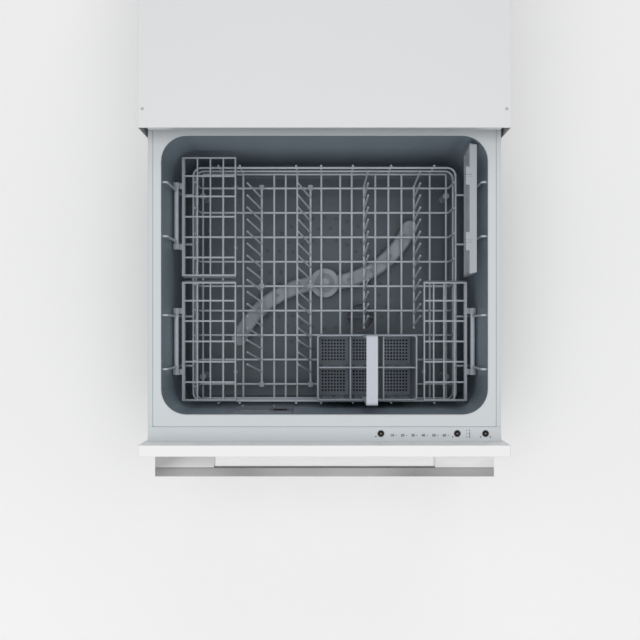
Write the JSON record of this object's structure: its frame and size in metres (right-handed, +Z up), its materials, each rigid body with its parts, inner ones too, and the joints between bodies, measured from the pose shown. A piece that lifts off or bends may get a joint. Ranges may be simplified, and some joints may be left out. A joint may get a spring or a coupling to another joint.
{
  "type": "dishwasher drawer",
  "caption": "Dishwasher drawer: a wash tub with wire basket, cup racks and cutlery basket that slides out of its chassis behind a white handled door.",
  "frame": {"origin": "middle of the bounding box on the floor, with the drawer pulled out as in the picture", "axes": "+X to the right of the door, +Y back into the cabinet, +Z up"},
  "size_m": [0.599, 1.114, 0.41],
  "materials": {
    "galvanised_steel": "satin zinc coat",
    "dark_plastic": "matt",
    "foot_steel": "zinc plated",
    "valve_plastic": "matt",
    "runner_steel": "bright zinc",
    "lid_plastic": "fine grain",
    "seal_rubber": "smooth",
    "tub_plastic": "satin moulded",
    "rim_plastic": "satin moulded",
    "circuit_board": "lacquered",
    "door_white": "satin enamel",
    "liner_plastic": "matt",
    "frame_steel": "zinc coat",
    "handle_metal": "brushed",
    "filter_steel": "satin",
    "sump_plastic": "matt",
    "motor_steel": "laminated",
    "dispenser_plastic": "satin",
    "button_plastic": "satin",
    "spray_plastic": "satin",
    "filter_plastic": "matt",
    "coated_wire": "nylon coat",
    "clip_plastic": "matt",
    "rack_plastic": "satin",
    "cutlery_plastic": "satin",
    "strap_plastic": "satin"
  },
  "bodies": {
    "chassis": {"chassis_side_left": "galvanised_steel", "chassis_side_right": "galvanised_steel", "chassis_top": "galvanised_steel", "chassis_base": "galvanised_steel", "chassis_back": "galvanised_steel", "mounting_plates": "galvanised_steel", "lid_guides": "dark_plastic", "drain_spigot": "dark_plastic", "cable_gland": "dark_plastic", "levelling_feet": "foot_steel", "inlet_valve": "valve_plastic", "runner_outer_left": "runner_steel", "runner_outer_right": "runner_steel"},
    "lid": {"lid_panel": "lid_plastic", "lid_seal": "seal_rubber"},
    "runner_middle_left": {"runner_middle_left": "runner_steel"},
    "runner_middle_right": {"runner_middle_right": "runner_steel"},
    "drawer": {"runner_inner_left": "runner_steel", "runner_inner_right": "runner_steel", "tub": "tub_plastic", "side_trims": "rim_plastic", "control_fascia": "rim_plastic", "control_board": "circuit_board", "door_panel": "door_white", "door_liner": "liner_plastic", "door_frame": "frame_steel", "handle_bar": "handle_metal", "handle_posts": "handle_metal", "handle_screws": "frame_steel", "filter_plate": "filter_steel", "heater_element": "filter_steel", "sump_housing": "sump_plastic", "drain_pump": "sump_plastic", "motor_stator": "motor_steel", "dispenser_body": "dispenser_plastic"},
    "button_power": {"button_power": "button_plastic"},
    "button_program": {"button_program": "button_plastic"},
    "button_start": {"button_start": "button_plastic"},
    "spray_arm": {"spray_arm": "spray_plastic"},
    "impeller": {"impeller": "sump_plastic"},
    "drain_filter": {"drain_filter": "filter_plastic"},
    "dispenser_door": {"dispenser_door": "dispenser_plastic"},
    "rinse_aid_cap": {"rinse_aid_cap": "button_plastic"},
    "basket": {"basket_floor": "coated_wire", "basket_front": "coated_wire", "basket_back": "coated_wire", "basket_left": "coated_wire", "basket_right": "coated_wire", "plate_tines": "coated_wire", "rack_supports": "coated_wire", "tine_clips": "clip_plastic", "basket_feet": "clip_plastic"},
    "tine_row_left": {"tine_row_left": "coated_wire"},
    "tine_row_centre": {"tine_row_centre": "coated_wire"},
    "cup_rack_left_front": {"cup_rack_left_front": "rack_plastic"},
    "cup_rack_left_rear": {"cup_rack_left_rear": "rack_plastic"},
    "cup_rack_right_front": {"cup_rack_right_front": "rack_plastic"},
    "cup_rack_right_rear": {"cup_rack_right_rear": "rack_plastic"},
    "cutlery_basket": {"cutlery_basket": "cutlery_plastic", "cutlery_handle": "strap_plastic"}
  },
  "joints": [
    {"name": "drawer_slide", "type": "slide", "parent": "chassis", "child": "drawer", "axis": [0, -1, 0], "range_m": [-0.505, 0]},
    {"name": "runner_left_slide", "type": "slide", "parent": "chassis", "child": "runner_middle_left", "axis": [0, -1, 0], "range_m": [-0.2525, 0]},
    {"name": "runner_right_slide", "type": "slide", "parent": "chassis", "child": "runner_middle_right", "axis": [0, -1, 0], "range_m": [-0.2525, 0]},
    {"name": "lid_lift", "type": "slide", "parent": "chassis", "child": "lid", "axis": [0, 0, 1], "range_m": [-0.01, 0]},
    {"name": "basket_lift", "type": "slide", "parent": "drawer", "child": "basket", "axis": [0, 0, 1], "range_m": [0, 0.3]},
    {"name": "cutlery_lift", "type": "slide", "parent": "basket", "child": "cutlery_basket", "axis": [0, 0, 1], "range_m": [0, 0.25]},
    {"name": "spray_arm_spin", "type": "hinge", "parent": "drawer", "child": "spray_arm", "pos_m": [0, -0.225, 0.1], "axis": [0, 0, 1], "continuous": true},
    {"name": "impeller_spin", "type": "hinge", "parent": "drawer", "child": "impeller", "pos_m": [0, -0.225, 0.045], "axis": [0, 0, 1], "continuous": true},
    {"name": "drain_filter_twist", "type": "hinge", "parent": "drawer", "child": "drain_filter", "pos_m": [0.07, -0.29, 0.075], "axis": [0, 0, 1], "range_deg": [0, 90]},
    {"name": "dispenser_door_hinge", "type": "hinge", "parent": "drawer", "child": "dispenser_door", "pos_m": [-0.118, -0.4531, 0.233], "axis": [-1, 0, 0], "range_deg": [0, 95]},
    {"name": "rinse_aid_cap_twist", "type": "hinge", "parent": "drawer", "child": "rinse_aid_cap", "pos_m": [-0.076, -0.453, 0.29], "axis": [0, 1, 0], "range_deg": [0, 90]},
    {"name": "tine_row_left_fold", "type": "hinge", "parent": "basket", "child": "tine_row_left", "pos_m": [-0.119, -0.225, 0.133], "axis": [0, -1, 0], "range_deg": [0, 72]},
    {"name": "tine_row_centre_fold", "type": "hinge", "parent": "basket", "child": "tine_row_centre", "pos_m": [-0.0265, -0.225, 0.133], "axis": [0, -1, 0], "range_deg": [0, 72]},
    {"name": "cup_rack_left_front_fold", "type": "hinge", "parent": "basket", "child": "cup_rack_left_front", "pos_m": [-0.262, -0.33575, 0.25], "axis": [0, -1, 0], "range_deg": [0, 87]},
    {"name": "cup_rack_left_rear_fold", "type": "hinge", "parent": "basket", "child": "cup_rack_left_rear", "pos_m": [-0.262, -0.11425, 0.25], "axis": [0, -1, 0], "range_deg": [0, 87]},
    {"name": "cup_rack_right_front_fold", "type": "hinge", "parent": "basket", "child": "cup_rack_right_front", "pos_m": [0.262, -0.33575, 0.25], "axis": [0, 1, 0], "range_deg": [0, 87]},
    {"name": "cup_rack_right_rear_fold", "type": "hinge", "parent": "basket", "child": "cup_rack_right_rear", "pos_m": [0.262, -0.11425, 0.25], "axis": [0, 1, 0], "range_deg": [-87, 0]},
    {"name": "button_power_press", "type": "slide", "parent": "drawer", "child": "button_power", "axis": [0, 0, -1], "range_m": [0, 0.0015], "stiffness_N_per_m": 300, "springref_m": -0.0005},
    {"name": "button_program_press", "type": "slide", "parent": "drawer", "child": "button_program", "axis": [0, 0, -1], "range_m": [0, 0.0015], "stiffness_N_per_m": 300, "springref_m": -0.0005},
    {"name": "button_start_press", "type": "slide", "parent": "drawer", "child": "button_start", "axis": [0, 0, -1], "range_m": [0, 0.0015], "stiffness_N_per_m": 300, "springref_m": -0.0005}
  ],
  "couplings": [
    {"joint": "runner_left_slide", "follows": "drawer_slide", "ratio": 0.5},
    {"joint": "runner_right_slide", "follows": "drawer_slide", "ratio": 0.5}
  ]
}
